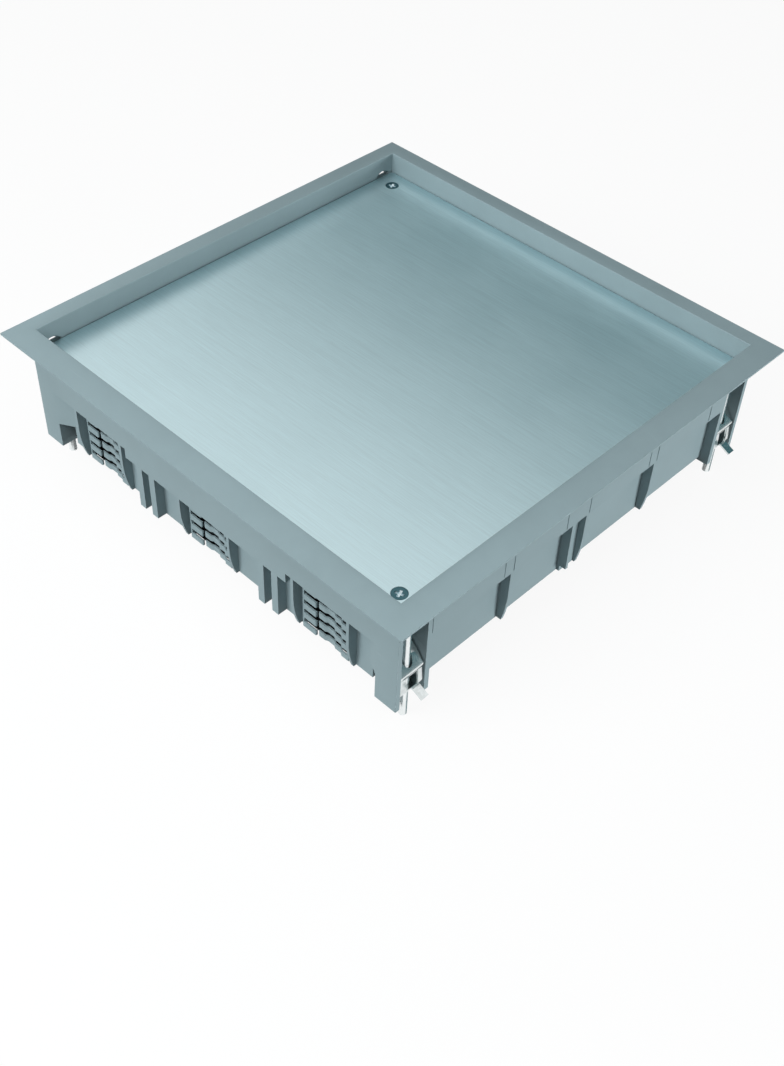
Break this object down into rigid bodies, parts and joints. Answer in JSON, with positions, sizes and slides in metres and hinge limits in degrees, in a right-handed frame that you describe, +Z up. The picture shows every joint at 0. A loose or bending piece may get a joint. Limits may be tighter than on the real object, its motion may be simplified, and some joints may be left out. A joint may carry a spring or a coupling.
{
  "type": "floor box cover",
  "caption": "Square floor box cover: moulded frame with trim flange and cable combs, steel cover plate in a recess, and screw-driven floor claws.",
  "frame": {"origin": "bottom centre of the whole object, at the level of the clamp screws' tips, on the middle of the square", "axes": "+Z up, out of the floor; the sides with cable combs face -Y and +Y; the sides with the claws face -X and +X"},
  "size_m": [0.264, 0.264, 0.0781],
  "materials": {
    "frame_plastic": "fine moulded texture",
    "cover_steel": "fine brushed grain",
    "cover_screw_steel": "dark plated",
    "clamp_screw_zinc": "bright zinc",
    "claw_steel": "dull zinc plate"
  },
  "bodies": {
    "frame": {"frame": "frame_plastic", "cover_plate": "cover_steel", "cover_screw_front": "cover_screw_steel", "cover_screw_rear": "cover_screw_steel"},
    "clamp_screw_front_right": {"clamp_screw_front_right": "clamp_screw_zinc"},
    "claw_front_right": {"claw_front_right": "claw_steel"},
    "clamp_screw_rear_right": {"clamp_screw_rear_right": "clamp_screw_zinc"},
    "claw_rear_right": {"claw_rear_right": "claw_steel"},
    "clamp_screw_rear_left": {"clamp_screw_rear_left": "clamp_screw_zinc"},
    "claw_rear_left": {"claw_rear_left": "claw_steel"},
    "clamp_screw_front_left": {"clamp_screw_front_left": "clamp_screw_zinc"},
    "claw_front_left": {"claw_front_left": "claw_steel"}
  },
  "joints": [
    {"name": "front_right_screw_turn", "type": "hinge", "parent": "frame", "child": "clamp_screw_front_right", "pos_m": [0.1174, -0.1124, 0.0606], "axis": [0, 0, 1], "range_deg": [-7210, 7210]},
    {"name": "front_right_claw_travel", "type": "slide", "parent": "frame", "child": "claw_front_right", "axis": [0, 0, 1], "range_m": [-0.014, 0.014]},
    {"name": "rear_right_screw_turn", "type": "hinge", "parent": "frame", "child": "clamp_screw_rear_right", "pos_m": [0.1174, 0.1124, 0.0606], "axis": [0, 0, 1], "range_deg": [-7210, 7210]},
    {"name": "rear_right_claw_travel", "type": "slide", "parent": "frame", "child": "claw_rear_right", "axis": [0, 0, 1], "range_m": [-0.014, 0.014]},
    {"name": "rear_left_screw_turn", "type": "hinge", "parent": "frame", "child": "clamp_screw_rear_left", "pos_m": [-0.1174, 0.1124, 0.0606], "axis": [0, 0, 1], "range_deg": [-7210, 7210]},
    {"name": "rear_left_claw_travel", "type": "slide", "parent": "frame", "child": "claw_rear_left", "axis": [0, 0, 1], "range_m": [-0.014, 0.014]},
    {"name": "front_left_screw_turn", "type": "hinge", "parent": "frame", "child": "clamp_screw_front_left", "pos_m": [-0.1174, -0.1124, 0.0606], "axis": [0, 0, 1], "range_deg": [-7210, 7210]},
    {"name": "front_left_claw_travel", "type": "slide", "parent": "frame", "child": "claw_front_left", "axis": [0, 0, 1], "range_m": [-0.014, 0.014]}
  ],
  "couplings": [
    {"joint": "front_right_screw_turn", "follows": "front_right_claw_travel", "rad_per_m": -8976},
    {"joint": "rear_right_screw_turn", "follows": "rear_right_claw_travel", "rad_per_m": -8976},
    {"joint": "rear_left_screw_turn", "follows": "rear_left_claw_travel", "rad_per_m": -8976},
    {"joint": "front_left_screw_turn", "follows": "front_left_claw_travel", "rad_per_m": -8976}
  ]
}
